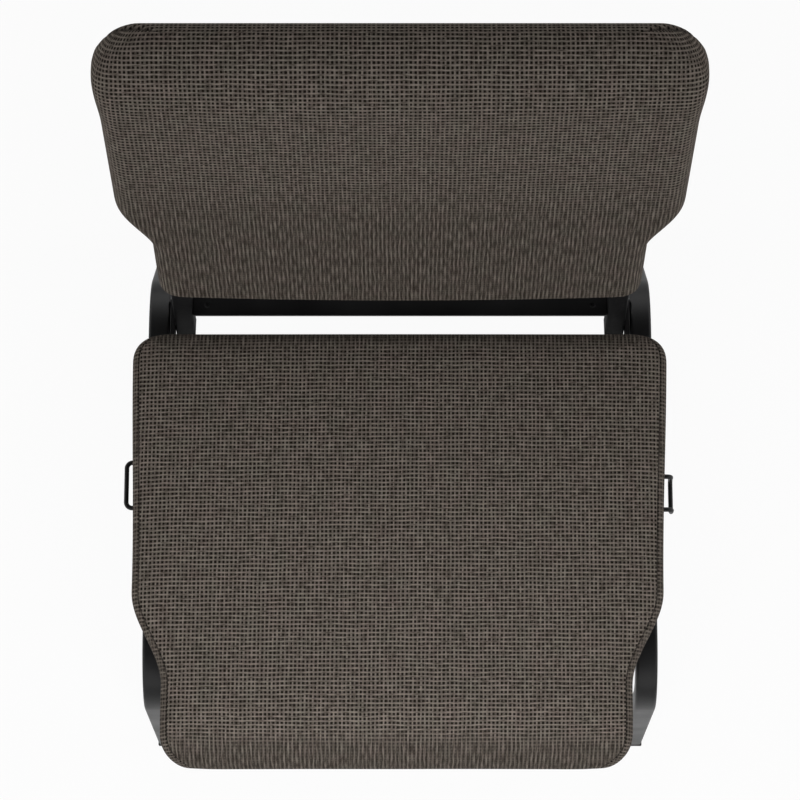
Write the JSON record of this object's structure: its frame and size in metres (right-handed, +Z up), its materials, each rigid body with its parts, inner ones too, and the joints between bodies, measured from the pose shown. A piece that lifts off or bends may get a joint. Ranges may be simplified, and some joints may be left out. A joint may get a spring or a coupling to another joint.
{
  "type": "stacking church chair",
  "caption": "Armless stacking chair with a bent square-tube steel frame, an upholstered seat with a waterfall front and notched corners, a padded reclined back and wire ganging links.",
  "frame": {"origin": "on the floor under the middle of the chair's outline", "axes": "+Z up, the chair faces -Y, and +X is on the right of someone who looks at its front"},
  "size_m": [0.564, 0.6727, 0.8487],
  "materials": {
    "powder_coat": "semi-gloss black powder coat",
    "black_plastic": "moulded black plastic",
    "woven_fabric": "taupe basket weave with near-black dots",
    "foam": "open-cell foam",
    "plywood": "raw plywood",
    "fibreboard": "raw fibreboard",
    "dust_cloth": "thin black non-woven cloth",
    "zinc_steel": "zinc plated"
  },
  "bodies": {
    "root": {"side_frame_left": "powder_coat", "side_frame_right": "powder_coat", "seat_cross_tube_front": "powder_coat", "seat_cross_tube_rear": "powder_coat", "back_upright_left": "powder_coat", "back_upright_right": "powder_coat", "back_upper_tube": "powder_coat", "back_lower_bar": "powder_coat", "upright_spacer_left": "powder_coat", "upright_spacer_right": "powder_coat", "ganging_loop": "powder_coat", "ganging_hook": "powder_coat", "glide_front_left": "black_plastic", "glide_front_right": "black_plastic", "glide_rear_left": "black_plastic", "glide_rear_right": "black_plastic", "stacking_bumper_front_left": "black_plastic", "stacking_bumper_front_right": "black_plastic", "stacking_bumper_rear_left": "black_plastic", "stacking_bumper_rear_right": "black_plastic", "upright_plug_left": "black_plastic", "upright_plug_right": "black_plastic", "seat_cover": "woven_fabric", "back_cover": "woven_fabric", "seat_foam": "foam", "back_foam": "foam", "seat_board": "plywood", "back_board": "plywood", "back_rear_panel": "fibreboard", "seat_dust_cover": "dust_cloth", "seat_front_left_screw": "zinc_steel", "seat_front_right_screw": "zinc_steel", "seat_rear_left_screw": "zinc_steel", "seat_rear_right_screw": "zinc_steel", "back_lower_left_screw": "zinc_steel", "back_lower_right_screw": "zinc_steel", "back_upper_left_screw": "zinc_steel", "back_upper_right_screw": "zinc_steel", "seat_front_left_insert": "zinc_steel", "seat_front_right_insert": "zinc_steel", "seat_rear_left_insert": "zinc_steel", "seat_rear_right_insert": "zinc_steel", "back_lower_left_insert": "zinc_steel", "back_lower_right_insert": "zinc_steel", "back_upper_left_insert": "zinc_steel", "back_upper_right_insert": "zinc_steel"}
  },
  "joints": []
}
